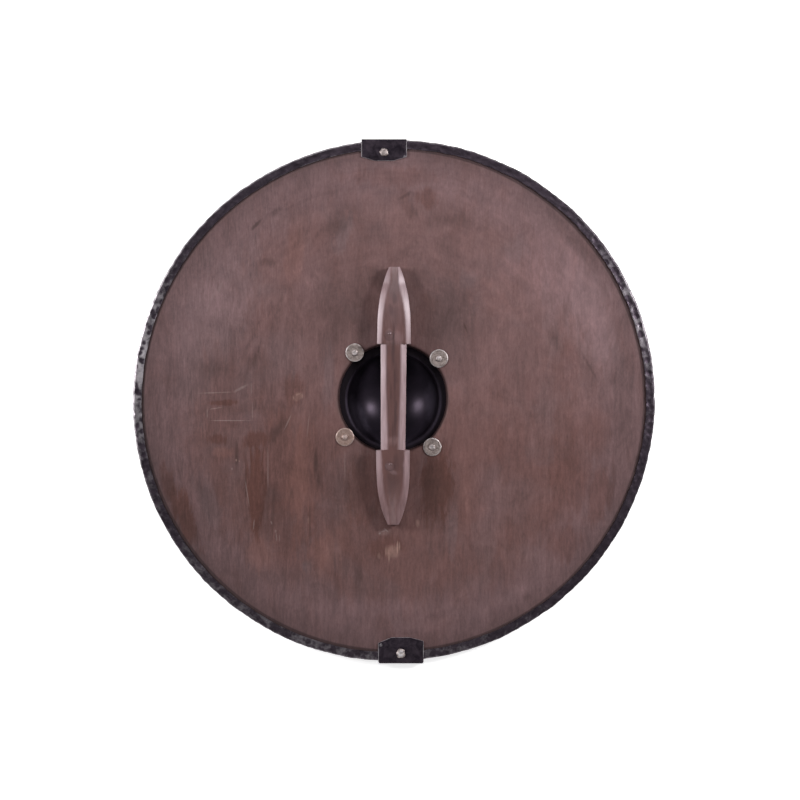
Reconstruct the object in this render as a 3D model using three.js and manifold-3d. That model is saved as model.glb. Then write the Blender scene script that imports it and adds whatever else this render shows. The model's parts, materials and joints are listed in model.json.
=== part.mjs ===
// A round wooden shield: a flat board with a folded steel rim, a steel boss over the hand hole and a wooden grip.
// Millimetres. The shield is modelled flat, with x to the right and y to its top as its back is looked at,
// z = 0 on the board's front and z growing out of its back. The whole group is then leaned, so that the shield
// lies face down on its boss and its lower clip, +Z up.
import * as THREE from "three";
import { mergeVertices } from "three/addons/utils/BufferGeometryUtils.js";
import Module from "manifold-3d";

const wasm = await Module();
wasm.setup();

// Clearances
const fitGap = 0.3; // between pieces that touch
const rimJoint = 1.6; // between the two halves of the rim, under the clips

// Board
const boardThick = 9;
const boardEdgeRound = 1.3;
const handHoleX = -1;
const handHoleY = 2.6;
const handHoleMargin = 9.3; // from the inside of the boss to the edge of the wood
const handHoleRound = 4; // rounding of the edge where the hand goes in

// Rim
const rimDiameter = 609;
const rimSheet = 1.2;
const rimLip = 10.5; // from the outside of the rim to the inner edge of its lip
const rimBend = 2.2; // outside radius of the fold

// Boss
const bossX = -0.8;
const bossY = 1.1;
const bossInside = 53.5; // inside radius of the bowl
const bossDeep = 42; // inside depth of the round bowl, below its neck
const bossSheet = 1.8;
const bossNeck = 3; // straight wall between the flange's bend and the round bowl
const bossBend = 3.5; // radius of the bend, on the hand's side
const bossRivetEdge = 9.2; // from the edge of the hand hole to the circle of rivets
const bossFlangeEdge = 14; // from the circle of rivets to the outside of the flange
const restFlat = 0.6; // depth of the worn spot that the boss lies on

// Rivets and washers of the boss, each set a little off the circle, as drilled by hand
const bossRivetShank = 2.4;
const bossRivetHead = 5;
const bossRivetHeadHigh = 2.2;
const bossRivetPeen = 3.6;
const bossRivetPeenHigh = 1.9;
const washerRadius = 10.65;
const washerThick = 1.5;
const bossRivets = [
  { name: "upper_right", angle: 41.3, off: -0.5 },
  { name: "upper_left", angle: 129.6, off: -1.9 },
  { name: "lower_left", angle: 218.5, off: -0.2 },
  { name: "lower_right", angle: 309.2, off: 0.7 },
];

// Grip
const gripHigh = 22;
const gripTipHigh = 14;
const gripBarWide = 29.6;
const gripBarFlat = 15; // width of the flat back of the bar
const gripPadWide = 39.2;
const gripPadChamfer = 6.2; // width of the sloping side of a pad
const gripTipWide = 12.6;
const gripTipChamfer = 2.3;
const gripUpperPad = 89.6; // length of each pad
const gripLowerPad = 86.7;
const gripUpperPastHole = 0.2; // from the hand hole's edge out to the pad's shoulder
const gripLowerPastHole = -2.2;
const gripShoulder = 0.8; // length of the cut that steps from bar to pad
const gripSlope = 0.62; // how steep the sloping sides are
const gripBulge = 0.6; // how far a sloping side is rounded out
const gripFootBar = 3; // rounding under the bar, where the fingers close
const gripFootPad = 0.6;
const gripPadTaper = 2.7; // how late a pad narrows towards its tip

// Rivets of the grip, with a flat disc let into the pad
const gripRivetShank = 2.2;
const gripRivetDisc = 5.2;
const gripRivetSunk = 1;
const gripRivetProud = 0.4;
const gripRivets = [
  { name: "upper", x: -5, fromShoulder: 9.6 },
  { name: "lower", x: -4.4, fromShoulder: 18.5 },
];

// Clips over the joints of the rim
const clipWide = 53;
const clipSheet = 1.2;
const clipBend = 3;
const clipNoseDrop = 4.4; // how much shorter the nose is at its corners than in the middle
const clipNoseFlat = 21.5; // width of the straight middle of the nose
const clipSettle = 1.2; // how far the nose is pressed down towards the board
const clipRivetShank = 2.6;
const clipRivetFrontHead = 5;
const clipRivetFrontHigh = 1.2;
const clipRivetPeenHigh = 2.4;
const clips = {
  top: { x: -11.2, side: 1, standoff: 0.3, reach: 14, rivetPastLip: 4.4, corner: 1, peen: 4.9 },
  bottom: { x: 8.5, side: -1, standoff: 2.6, reach: 17, rivetPastLip: -1.3, corner: 2.6, peen: 5.5 },
};

// Fineness of the round shapes
const hoopSides = 88;
const bowlSides = 42;
const bowlRings = 8;
const holeSides = 60;
const rivetSides = 12;
const headRings = 2;
const washerSides = 18;
const padStations = 8;
const barStations = 3;

// Sizes worked out from the ones above
const rimRadius = rimDiameter / 2;
const boardRadius = rimRadius - rimSheet - fitGap;
const boardMiddle = boardThick / 2;
const handHoleRadius = bossInside + handHoleMargin;
const rivetCircle = handHoleRadius + bossRivetEdge;
const flangeRadius = rivetCircle + bossFlangeEdge;
const flangeBack = -fitGap;
const flangeFront = flangeBack - bossSheet;
const bowlCentre = flangeBack - bossBend - bossNeck;
const bowlOutside = bossInside + bossSheet;
const bowlDrop = bossDeep + bossSheet;
const rimFace = boardThick + fitGap + rimSheet;
const legInside = rimFace + fitGap;
const legOutside = legInside + clipSheet;
const gripBase = boardThick + fitGap;
const gripTop = gripBase + gripHigh;
const upperShoulder = handHoleY + handHoleRadius + gripUpperPastHole;
const lowerShoulder = handHoleY - handHoleRadius - gripLowerPastHole;
const through = 4 * (boardThick + gripHigh + bossSheet); // long enough to cut right through everything

// A closed geometry as a solid that can be cut and joined.
function solidOf(geometry) {
  const bare = geometry.index ? geometry.toNonIndexed() : geometry.clone();
  bare.deleteAttribute("normal");
  bare.deleteAttribute("uv");
  const merged = mergeVertices(bare, 1e-4);
  return new wasm.Manifold(
    new wasm.Mesh({
      numProp: 3,
      vertProperties: merged.attributes.position.array,
      triVerts: new Uint32Array(merged.index.array),
    }),
  );
}

// A solid as a geometry with flat faces.
function geometryOf(solid) {
  const mesh = solid.getMesh();
  const indexed = new THREE.BufferGeometry();
  indexed.setAttribute("position", new THREE.BufferAttribute(mesh.vertProperties, mesh.numProp));
  indexed.setIndex(new THREE.BufferAttribute(mesh.triVerts, 1));
  const flat = indexed.toNonIndexed();
  flat.computeVertexNormals();
  return flat;
}

// Points along part of an ellipse, from one angle to another in degrees.
function arc(x, y, radiusX, radiusY, from, to, steps) {
  return Array.from({ length: steps + 1 }, (_, i) => {
    const angle = THREE.MathUtils.degToRad(from + ((to - from) * i) / steps);
    return new THREE.Vector2(x + radiusX * Math.cos(angle), y + radiusY * Math.sin(angle));
  });
}

const point = (x, y) => new THREE.Vector2(x, y);

// A profile of radius and height turned about the z axis.
function turned(profile, sides) {
  return new THREE.LatheGeometry(profile, sides).rotateX(Math.PI / 2);
}

// A round cutter along z at one place.
function drill(x, y, radius, sides = rivetSides) {
  const cylinder = new THREE.CylinderGeometry(radius, radius, through, sides);
  return solidOf(cylinder.rotateX(Math.PI / 2).translate(x, y, 0));
}

// Places of the fastenings
const bossRivetPlaces = bossRivets.map(({ name, angle, off }) => {
  const turn = THREE.MathUtils.degToRad(angle);
  const reach = rivetCircle + off;
  return { name, x: bossX + reach * Math.cos(turn), y: bossY + reach * Math.sin(turn) };
});

const gripRivetPlaces = gripRivets.map(({ name, x, fromShoulder }) => ({
  name,
  x,
  y: name === "upper" ? upperShoulder + fromShoulder : lowerShoulder - fromShoulder,
}));

const clipPlaces = Object.entries(clips).map(([name, clip]) => {
  const outside = rimRadius + clip.standoff + clipSheet;
  const length = clipSheet + clip.standoff + rimLip + clip.reach;
  const rivetIn = clipSheet + clip.standoff + rimLip + clip.rivetPastLip;
  return { name, ...clip, outside, length, rivetIn, rivetY: clip.side * (outside - rivetIn) };
});

const bossHoles = bossRivetPlaces.map(({ x, y }) => drill(x, y, bossRivetShank + fitGap));
const gripHoles = gripRivetPlaces.map(({ x, y }) => drill(x, y, gripRivetShank + fitGap));
const clipHoles = clipPlaces.map(({ x, rivetY }) => drill(x, rivetY, clipRivetShank + fitGap));

// One after another, each cutter is taken out of a solid.
const cutBy = (solid, cutters) => cutters.reduce((left, cutter) => left.subtract(cutter), solid);

// The board, with its rounded hand hole
function board() {
  const disc = turned(
    [
      point(0, 0),
      point(boardRadius - boardEdgeRound, 0),
      point(boardRadius, boardEdgeRound),
      point(boardRadius, boardThick - boardEdgeRound),
      point(boardRadius - boardEdgeRound, boardThick),
      point(0, boardThick),
    ],
    hoopSides,
  );
  const round = Math.min(handHoleRound, boardThick / 2);
  const mouth = handHoleRadius + round;
  const hole = turned(
    [
      point(0, -boardThick),
      point(handHoleRadius, -boardThick),
      ...arc(mouth, boardThick - round, round, round, 180, 90, 3),
      point(mouth, 2 * boardThick),
      point(0, 2 * boardThick),
    ],
    holeSides,
  ).translate(handHoleX, handHoleY, 0);
  return cutBy(solidOf(disc), [solidOf(hole), ...bossHoles, ...gripHoles, ...clipHoles]);
}

// The rim: a hoop folded over the board's edge, parted at a seam that runs from clip to clip
function hoop() {
  const inner = rimBend - rimSheet;
  const high = boardMiddle + fitGap + rimSheet;
  const hollow = boardMiddle + fitGap;
  const lipEdge = rimRadius - rimLip;
  const foldX = rimRadius - rimBend;
  const foldInX = rimRadius - rimSheet - inner;
  const profile = [
    point(lipEdge, -high),
    ...arc(foldX, rimBend - high, rimBend, rimBend, -90, 0, 2),
    ...arc(foldX, high - rimBend, rimBend, rimBend, 0, 90, 2),
    point(lipEdge, high),
    point(lipEdge, hollow),
    ...arc(foldInX, hollow - inner, inner, inner, 90, 0, 1),
    ...arc(foldInX, inner - hollow, inner, inner, 0, -90, 1),
    point(lipEdge, -hollow),
    point(lipEdge, -high),
  ];
  return cutBy(solidOf(turned(profile, hoopSides).translate(0, 0, boardMiddle)), clipHoles);
}

function rimHalf(whole, side) {
  const { top, bottom } = clips;
  const lean = Math.atan2(bottom.x - top.x, rimDiameter);
  const half = new THREE.BoxGeometry(rimDiameter, 2 * rimDiameter, through)
    .translate((side * (rimDiameter + rimJoint)) / 2, 0, 0)
    .rotateZ(lean)
    .translate((top.x + bottom.x) / 2, 0, 0);
  return whole.intersect(solidOf(half));
}

// How far the oval bowl reaches down from its centre when the shield leans
const bowlReach = (angle) => Math.hypot(bowlOutside * Math.sin(angle), bowlDrop * Math.cos(angle));

// How far the shield leans, so that the worn spot of the bowl and the fold of the lower clip touch one floor.
// The reach of the bowl changes a little with the lean, so the lean is worked out again until it settles.
function restLean() {
  const lowFold = clipPlaces.find(({ side }) => side < 0);
  const foldY = clipBend - lowFold.outside;
  const foldZ = 2 * boardMiddle - legOutside + clipBend;
  const across = bossY - foldY;
  const above = bowlCentre - foldZ;
  let angle = 0;
  for (let round = 0; round < 20; round++) {
    const drop = bowlReach(angle) - restFlat - clipBend;
    angle = Math.asin(drop / Math.hypot(across, above)) - Math.atan2(above, across);
  }
  return angle;
}

const lean = restLean();

// The boss: flange, bend and bowl of one sheet, with the worn spot cut level with the floor
function boss() {
  const bendX = bossInside + bossBend;
  const bendZ = flangeBack - bossBend;
  const bendOut = Math.max(bossBend - bossSheet, fitGap);
  const profile = [
    ...arc(0, bowlCentre, bowlOutside, bowlDrop, -90, 0, bowlRings),
    ...arc(bowlOutside + bendOut, flangeFront - bendOut, bendOut, bendOut, 180, 90, 2),
    point(flangeRadius, flangeFront),
    point(flangeRadius, flangeBack),
    ...arc(bendX, bendZ, bossBend, bossBend, 90, 180, 3),
    ...arc(0, bowlCentre, bossInside, bossDeep, 0, -90, bowlRings),
  ];
  profile[0].x = 0;
  profile[profile.length - 1].x = 0;
  const bowl = solidOf(turned(profile, bowlSides).translate(bossX, bossY, 0));
  const reach = bowlReach(lean) - restFlat + bossSheet;
  const floor = new THREE.BoxGeometry(bossInside, bossInside, 2 * bossSheet)
    .translate(0, 0, -reach)
    .rotateX(-lean)
    .translate(bossX, bossY, bowlCentre);
  return cutBy(bowl, [solidOf(floor), ...bossHoles, ...gripHoles]);
}

// The grip: stations along y, each with its widths and height, joined into one carved bar
function padStation(shoulderY, tipY, along) {
  const narrow = along ** gripPadTaper;
  const half = THREE.MathUtils.lerp(gripPadWide, gripTipWide, narrow) / 2;
  const chamfer = THREE.MathUtils.lerp(gripPadChamfer, gripTipChamfer, narrow);
  const high = THREE.MathUtils.lerp(gripHigh, gripTipHigh, along ** 3);
  return { y: THREE.MathUtils.lerp(shoulderY, tipY, along), half, chamfer, high, foot: gripFootPad };
}

function barStation(y) {
  const half = gripBarWide / 2;
  return { y, half, chamfer: half - gripBarFlat / 2, high: gripHigh, foot: gripFootBar };
}

function gripStations() {
  const share = (count) => Array.from({ length: count + 1 }, (_, i) => i / count);
  const upperTip = upperShoulder + gripUpperPad;
  const lowerTip = lowerShoulder - gripLowerPad;
  const barLow = lowerShoulder + gripShoulder;
  const barHigh = upperShoulder - gripShoulder;
  return [
    ...share(padStations).map((s) => padStation(lowerShoulder, lowerTip, 1 - s)),
    ...share(barStations).map((s) => barStation(THREE.MathUtils.lerp(barLow, barHigh, s))),
    ...share(padStations).map((s) => padStation(upperShoulder, upperTip, s)),
  ];
}

// The outline of one station, from the right edge of its flat back round to the left one.
function stationRing({ y, half, chamfer, high, foot }) {
  const drop = Math.min(chamfer * gripSlope, high - 2 * foot);
  const top = gripBase + high;
  const right = [
    [half - chamfer, top],
    [half - chamfer / 2 + gripBulge, top - drop / 2 + gripBulge],
    [half, top - drop],
    [half, gripBase + foot],
    [half - foot, gripBase],
  ];
  const left = right.map(([x, z]) => [-x, z]).reverse();
  return [...right, ...left].map(([x, z]) => new THREE.Vector3(x, y, z));
}

function grip() {
  const rings = gripStations().map(stationRing);
  const corners = rings[0].length;
  const bar = new THREE.CylinderGeometry(1, 1, rings.length - 1, corners, rings.length - 1);
  const place = bar.getAttribute("position");
  for (let i = 0; i < place.count; i++) {
    const ring = rings[Math.round(place.getY(i) + (rings.length - 1) / 2)];
    const turn = Math.atan2(place.getX(i), place.getZ(i)) / (2 * Math.PI);
    const onAxis = Math.hypot(place.getX(i), place.getZ(i)) < 0.5;
    const corner = ring[(Math.round(turn * corners) + corners) % corners];
    const centre = new THREE.Vector3(0, corner.y, gripBase + gripTipHigh / 2);
    place.setXYZ(i, ...(onAxis ? centre : corner).toArray());
  }
  const sinkings = gripRivetPlaces.map(({ x, y }) => {
    const deep = gripTop - gripRivetSunk - fitGap;
    return drill(x, y, gripRivetDisc + fitGap, washerSides).translate([0, 0, deep + through / 2]);
  });
  return cutBy(solidOf(bar), [...gripHoles, ...sinkings]);
}

// A clip: a strip folded round the rim, its two legs pressed down to the board past the lip
function clipSide({ length, rivetIn, peen }) {
  const inner = clipBend - clipSheet;
  const high = legOutside - boardMiddle;
  const settleFrom = Math.min(rivetIn + peen + fitGap, length - clipSheet);
  const outer = [
    point(length, high - clipSettle),
    point(settleFrom, high),
    ...arc(clipBend, high - clipBend, clipBend, clipBend, 90, 180, 4),
  ];
  const inside = [
    ...arc(clipBend, high - clipBend, inner, inner, 180, 90, 2),
    point(settleFrom, high - clipSheet),
    point(length, high - clipSheet - clipSettle),
  ];
  const mirrored = (points) => points.map(({ x, y }) => point(x, -y)).reverse();
  return new THREE.Shape([...outer, ...mirrored(outer), ...mirrored(inside), ...inside]);
}

function clipPlan({ length, corner }) {
  const half = clipWide / 2;
  const right = [
    [half - corner * 0.7, 0],
    [half, corner],
    [half, length - clipNoseDrop],
    [clipNoseFlat / 2, length],
  ];
  const left = right.map(([x, y]) => [-x, y]).reverse();
  return new THREE.Shape([...right, ...left].map(([x, y]) => point(x, y)));
}

function clip(place) {
  const fold = new THREE.ExtrudeGeometry(clipSide(place), { depth: clipWide, bevelEnabled: false })
    .translate(0, 0, -clipWide / 2)
    .rotateX(Math.PI / 2)
    .rotateZ(Math.PI / 2);
  const plan = new THREE.ExtrudeGeometry(clipPlan(place), { depth: through, bevelEnabled: false });
  plan.translate(0, 0, -through / 2);
  const both = geometryOf(solidOf(fold).intersect(solidOf(plan)))
    .rotateZ(place.side > 0 ? Math.PI : 0)
    .translate(place.x, place.side * place.outside, boardMiddle);
  return cutBy(solidOf(both), clipHoles);
}

// A rivet: a low round head on the front, the shank, and a peened end on the back
function rivet({ shank, front, frontHead, frontHigh, back, backHead, backHigh }) {
  const profile = [
    ...arc(0, front, frontHead, frontHigh, -90, 0, headRings),
    point(shank, front),
    point(shank, back),
    ...arc(0, back, backHead, backHigh, 0, 90, headRings),
  ];
  profile[0].x = 0;
  profile[profile.length - 1].x = 0;
  return turned(profile, rivetSides);
}

function bossRivet() {
  return rivet({
    shank: bossRivetShank,
    front: flangeFront - fitGap,
    frontHead: bossRivetHead,
    frontHigh: bossRivetHeadHigh,
    back: boardThick + fitGap + washerThick + fitGap,
    backHead: bossRivetPeen,
    backHigh: bossRivetPeenHigh,
  });
}

function clipRivet(peen) {
  return rivet({
    shank: clipRivetShank,
    front: boardThick - legOutside - fitGap,
    frontHead: clipRivetFrontHead,
    frontHigh: clipRivetFrontHigh,
    back: legOutside + fitGap,
    backHead: peen,
    backHigh: clipRivetPeenHigh,
  });
}

function washer() {
  const low = boardThick + fitGap;
  const bore = bossRivetShank + fitGap;
  const edge = washerThick / 3;
  return turned(
    [
      point(bore, low),
      point(washerRadius, low),
      point(washerRadius, low + washerThick - edge),
      point(washerRadius - edge, low + washerThick),
      point(bore, low + washerThick),
      point(bore, low),
    ],
    washerSides,
  );
}

function gripRivet() {
  const front = flangeFront - fitGap;
  const under = gripTop - gripRivetSunk;
  const top = gripTop + gripRivetProud;
  const profile = [
    ...arc(0, front, bossRivetHead, bossRivetHeadHigh, -90, 0, headRings),
    point(gripRivetShank, front),
    point(gripRivetShank, under),
    point(gripRivetDisc, under),
    point(gripRivetDisc, top - gripRivetProud),
    point(gripRivetDisc - gripRivetProud, top),
    point(0, top),
  ];
  profile[0].x = 0;
  return turned(profile, rivetSides);
}

// Materials
const stainedBoard = new THREE.MeshStandardMaterial({ color: 0x72595a, roughness: 0.62 });
const stainedGrip = new THREE.MeshStandardMaterial({ color: 0x85696a, roughness: 0.5 });
const blackPaint = new THREE.MeshStandardMaterial({ color: 0x1b181a, roughness: 0.38, metalness: 0.2 });
const hammeredSteel = new THREE.MeshStandardMaterial({ color: 0x4a4046, roughness: 0.4, metalness: 0.85 });
const blackenedSteel = new THREE.MeshStandardMaterial({ color: 0x302b33, roughness: 0.42, metalness: 0.8 });
const bareSteel = new THREE.MeshStandardMaterial({ color: 0x97898a, roughness: 0.4, metalness: 0.9 });

const shield = new THREE.Group();
shield.name = "round_shield";

function add(name, geometry, material, x = 0, y = 0, parent = shield) {
  const mesh = new THREE.Mesh(geometry, material);
  mesh.name = name;
  mesh.position.set(x, y, 0);
  parent.add(mesh);
}

const wholeHoop = hoop();
add("board", geometryOf(board()), stainedBoard);
add("rim_left", geometryOf(rimHalf(wholeHoop, -1)), hammeredSteel);
add("rim_right", geometryOf(rimHalf(wholeHoop, 1)), hammeredSteel);
add("boss", geometryOf(boss()), blackPaint);
add("grip", geometryOf(grip()), stainedGrip);
for (const place of clipPlaces) {
  add("clip_" + place.name, geometryOf(clip(place)), blackenedSteel);
  add("clip_rivet_" + place.name, clipRivet(place.peen), bareSteel, place.x, place.rivetY);
}
for (const { name, x, y } of bossRivetPlaces) {
  add("boss_washer_" + name, washer(), bareSteel, x, y);
  add("boss_rivet_" + name, bossRivet(), bareSteel, x, y);
}
for (const { name, x, y } of gripRivetPlaces) {
  add("grip_rivet_" + name, gripRivet(), stainedGrip, x, y);
}

// The shield is leaned over and set down with the middle of its underside at the origin.
shield.rotation.x = lean;
shield.updateMatrixWorld(true);
const bounds = new THREE.Box3().setFromObject(shield, true);
const centre = bounds.getCenter(new THREE.Vector3());
shield.position.set(-centre.x, -centre.y, -bounds.min.z);

export default shield;
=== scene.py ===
# %% [markdown]
# # A round wooden shield, lying on its face
# The real shield is a flat plywood disc, stained mauve brown, with a hammered steel rim folded over its
# edge, a black steel boss over the hand hole and a carved grip across it. It lies on the crown of the
# boss and on its lower clip, so its back leans a little, and the camera looks straight down on that back.
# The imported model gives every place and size. The fine surfaces are made here, around it.

# %% Load the frame
import json
import math

import bmesh
import bpy
from mathutils import Matrix, Vector, noise


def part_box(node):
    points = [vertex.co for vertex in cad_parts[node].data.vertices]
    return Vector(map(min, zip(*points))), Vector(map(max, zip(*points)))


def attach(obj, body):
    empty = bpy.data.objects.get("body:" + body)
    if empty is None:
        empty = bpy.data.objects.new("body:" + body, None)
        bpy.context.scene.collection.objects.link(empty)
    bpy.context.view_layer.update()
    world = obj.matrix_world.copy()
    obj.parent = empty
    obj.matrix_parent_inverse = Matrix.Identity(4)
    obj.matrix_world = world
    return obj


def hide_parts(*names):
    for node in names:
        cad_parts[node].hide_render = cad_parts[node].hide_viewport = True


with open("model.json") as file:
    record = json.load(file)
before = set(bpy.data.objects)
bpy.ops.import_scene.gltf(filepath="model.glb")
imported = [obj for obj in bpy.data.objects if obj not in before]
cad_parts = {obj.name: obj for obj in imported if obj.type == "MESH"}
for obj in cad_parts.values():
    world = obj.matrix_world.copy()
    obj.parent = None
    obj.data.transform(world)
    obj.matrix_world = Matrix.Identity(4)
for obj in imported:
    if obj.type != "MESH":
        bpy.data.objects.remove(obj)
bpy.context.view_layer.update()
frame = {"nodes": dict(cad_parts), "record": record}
nodes = frame["nodes"]
print("frame:", len(nodes), "nodes")

# %% [markdown]
# ## The shield's own axes
# Every piece is easier to shape flat: x to the right, y to the shield's top, z out of its back, with zero
# on the front of the board. The lean comes from the flat back of the grip, which the record gives as a
# mount, and the place from the middle of the board. Shapes are made in millimetres, and one matrix then
# sets a finished mesh down in the frame, so that the object itself stays at the origin.

# %% The shield's axes in the frame
MM = 0.001
BOARD_THICK = 9.0
FIT_GAP = 0.3

grip_face = next(m for m in frame["record"]["mounts"] if m["name"] == "grip_back")
lean = math.atan2(-grip_face["axis"][1], grip_face["axis"][2])
board_low, board_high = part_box("board")
board_centre = (Vector(board_low) + Vector(board_high)) / 2
leaned = Matrix.Rotation(lean, 4, "X")
zero_point = board_centre - leaned @ Vector((0, 0, BOARD_THICK / 2 * MM))
to_floor = Matrix.Translation(zero_point) @ leaned @ Matrix.Scale(MM, 4)
BOARD_RADIUS = (board_high[0] - board_low[0]) / 2 / MM
RIM_RADIUS = (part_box("rim_right")[1][0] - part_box("rim_left")[0][0]) / 2 / MM
print("lean", round(math.degrees(lean), 2), "degrees, rim radius", round(RIM_RADIUS, 2), "mm")


def centre_of(node):
    """Where a node's middle is in the shield's own axes."""
    low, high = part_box(node)
    return to_floor.inverted() @ ((Vector(low) + Vector(high)) / 2)


# %% [markdown]
# ## Helpers for the pieces
# A turned piece starts as a chain of vertices, its profile, and a spin makes the solid. A finished piece
# is moved into the frame, given its material and hung under the root, and the nodes it stands for are
# hidden.

# %% Mesh helpers
def mix(low, high, share):
    return low + (high - low) * share


def soft_step(low, high, value):
    """A smooth rise from 0 to 1 as the value passes from low to high."""
    share = min(1.0, max(0.0, (value - low) / (high - low)))
    return share * share * (3 - 2 * share)


def arc(x, z, radius_x, radius_z, start, end, steps):
    """Points along part of an ellipse, angles in degrees."""
    angles = [math.radians(mix(start, end, i / steps)) for i in range(steps + 1)]
    return [(x + radius_x * math.cos(a), z + radius_z * math.sin(a)) for a in angles]


def spun(profile, steps, closed=False, start=0.0, turn=360.0):
    """A profile of (radius, height) turned about z, as a bmesh in millimetres."""
    bm = bmesh.new()
    chain = [bm.verts.new((r, 0, z)) for r, z in profile]
    edges = [bm.edges.new(pair) for pair in zip(chain, chain[1:])]
    if closed:
        edges.append(bm.edges.new((chain[-1], chain[0])))
    bmesh.ops.rotate(bm, verts=chain, matrix=Matrix.Rotation(math.radians(start), 3, "Z"))
    bmesh.ops.spin(
        bm, geom=chain + edges, cent=(0, 0, 0), axis=(0, 0, 1), angle=math.radians(turn),
        steps=steps, use_merge=turn >= 360, use_duplicate=False,
    )
    bmesh.ops.remove_doubles(bm, verts=bm.verts, dist=1e-4)
    bmesh.ops.holes_fill(bm, edges=[e for e in bm.edges if e.is_boundary], sides=0)
    bmesh.ops.recalc_face_normals(bm, faces=bm.faces)
    return bm


def finish_piece(bm, name, material, slot, *stands_for, sharp=35.0, at=(0, 0)):
    """Sets a bmesh down in the frame as a piece that replaces nodes."""
    bmesh.ops.translate(bm, verts=bm.verts, vec=(at[0], at[1], 0))
    bmesh.ops.transform(bm, matrix=to_floor, verts=bm.verts)
    mesh = bpy.data.meshes.new(name)
    bm.to_mesh(mesh)
    bm.free()
    mesh.materials.append(material)
    mesh.shade_smooth()
    mesh.set_sharp_from_angle(angle=math.radians(sharp))
    piece = bpy.data.objects.new(name, mesh)
    bpy.context.scene.collection.objects.link(piece)
    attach(piece, "root")
    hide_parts(*stands_for)
    print(name, len(mesh.polygons), "faces")
    return piece


# %% [markdown]
# ## Helpers for the finishes
# Colours are written as the hex values that a picture shows, and one function turns them to linear light.
# One function adds a node, and every material is built with it. Patterns read Object coordinates, turned
# and scaled into the shield's own axes in millimetres, so the grain runs up the board however it lies.

# %% Material helpers
def linear(hex_colour):
    """A hex colour as linear red, green, blue and alpha."""
    parts = [int(hex_colour[i : i + 2], 16) / 255 for i in (1, 3, 5)]
    return (*[p / 12.92 if p <= 0.04045 else ((p + 0.055) / 1.055) ** 2.4 for p in parts], 1)


def add(tree, kind, inputs=(), **settings):
    """Adds a node with its settings, values and links, and gives back its outputs."""
    made = tree.nodes.new("ShaderNode" + kind)
    for name, value in settings.items():
        setattr(made, name, value)
    for name, value in dict(inputs).items():
        if isinstance(value, bpy.types.NodeSocket):
            tree.links.new(value, made.inputs[name])
        else:
            made.inputs[name].default_value = value
    return made.outputs


def new_material(name):
    """An empty node material, with the shield's own axes in millimetres as its coordinates."""
    material = bpy.data.materials.new(name)
    material.use_nodes = True
    tree = material.node_tree
    tree.nodes.clear()
    own_axes = {
        "Vector": add(tree, "TexCoord")["Object"],
        "Location": to_floor.inverted().translation,
        "Rotation": (-lean, 0, 0),
        "Scale": (1 / MM, 1 / MM, 1 / MM),
    }
    return material, tree, add(tree, "Mapping", own_axes)[0]


def cloudy(tree, where, size, low, high, span=(0.3, 0.7), detail=4.0, rough=0.6, warp=0.0, shift=0.0):
    """Clouds of a size in millimetres across, along and deep, drawn smoothly from low to high."""
    fitted = {"Vector": where, "Location": (shift, -shift, shift), "Scale": [1 / s for s in size]}
    spread = add(
        tree, "TexNoise",
        {
            "Vector": add(tree, "Mapping", fitted)[0], "Scale": 1.0, "Detail": detail, "Roughness": rough,
            "Distortion": warp,
        },
    )["Fac"]
    step = {"Value": spread, "From Min": span[0], "From Max": span[1], "To Min": low, "To Max": high}
    return add(tree, "MapRange", step, interpolation_type="SMOOTHSTEP")[0]


def finish_surface(tree, colour, rough, relief, strength, **surface):
    """The surface shader with its colour, its roughness and a relief of a fifth of a millimetre."""
    bump = add(tree, "Bump", {"Strength": strength, "Distance": 0.2 * MM, "Height": relief})[0]
    inputs = {"Base Color": colour, "Roughness": rough, "Normal": bump, **surface}
    add(tree, "OutputMaterial", {"Surface": add(tree, "BsdfPrincipled", inputs)[0]})


# %% [markdown]
# ## The camera
# The picture was taken square on to the back with a long lens. The camera stands off along the board's
# own upright, a hand's breadth over two and a half metres away, and is shifted sideways by a few
# millimetres, because the shield is a little left of the picture's middle.

# %% The camera
PICTURE = 800
OUTLINE_IN_PICTURE = 260.4
CENTRE_IN_PICTURE = (393.65, 400.32)
OUTLINE_RADIUS = 305.0
LENS = 100.0
SENSOR = 36.0

pixel = OUTLINE_RADIUS / OUTLINE_IN_PICTURE
distance = pixel * PICTURE * LENS / SENSOR
aside = (PICTURE / 2 - CENTRE_IN_PICTURE[0]) * pixel
upward = (CENTRE_IN_PICTURE[1] - PICTURE / 2) * pixel
camera = bpy.data.objects.new("camera", bpy.data.cameras.new("camera"))
camera.data.lens = LENS
camera.data.sensor_width = SENSOR
stand = to_floor @ Vector((aside, upward, BOARD_THICK / 2 + distance))
camera.matrix_world = Matrix.Translation(stand) @ leaned
bpy.context.scene.collection.objects.link(camera)
bpy.context.scene.camera = camera
print("camera", round(distance * MM, 3), "m from the board")

# %% [markdown]
# ## The board's stain
# Plywood under a thin mauve brown stain, wiped on with a rag, which gives the eye a dull, cloudy surface
# with the grain showing through. Three scales of pattern make it: broad clouds where the stain took more
# or less, streaks along the grain, and fine pores. Soft smudges, worn patches and painted shadow beside
# the grip are then laid where the picture shows them, each as a centre, a size and a turn.

# %% The stain's colours and its soft marks
STAIN = "#735655"
STAIN_LOW = "#745350"
STAIN_GREY = "#725d5f"
STAIN_WASH = "#775d5f"
STAIN_LIGHT = "#937477"
STAIN_TAN = "#93675f"
DARK_STAIN_AND_SHADOW = "#3e2c2a"
STAIN_BROWN = "#633d35"
LINE_SHADE_AND_STAIN = "#2c1d1e"
RUBBED_THROUGH = "#b38f84"
CHALKED = "#a8928f"

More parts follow.
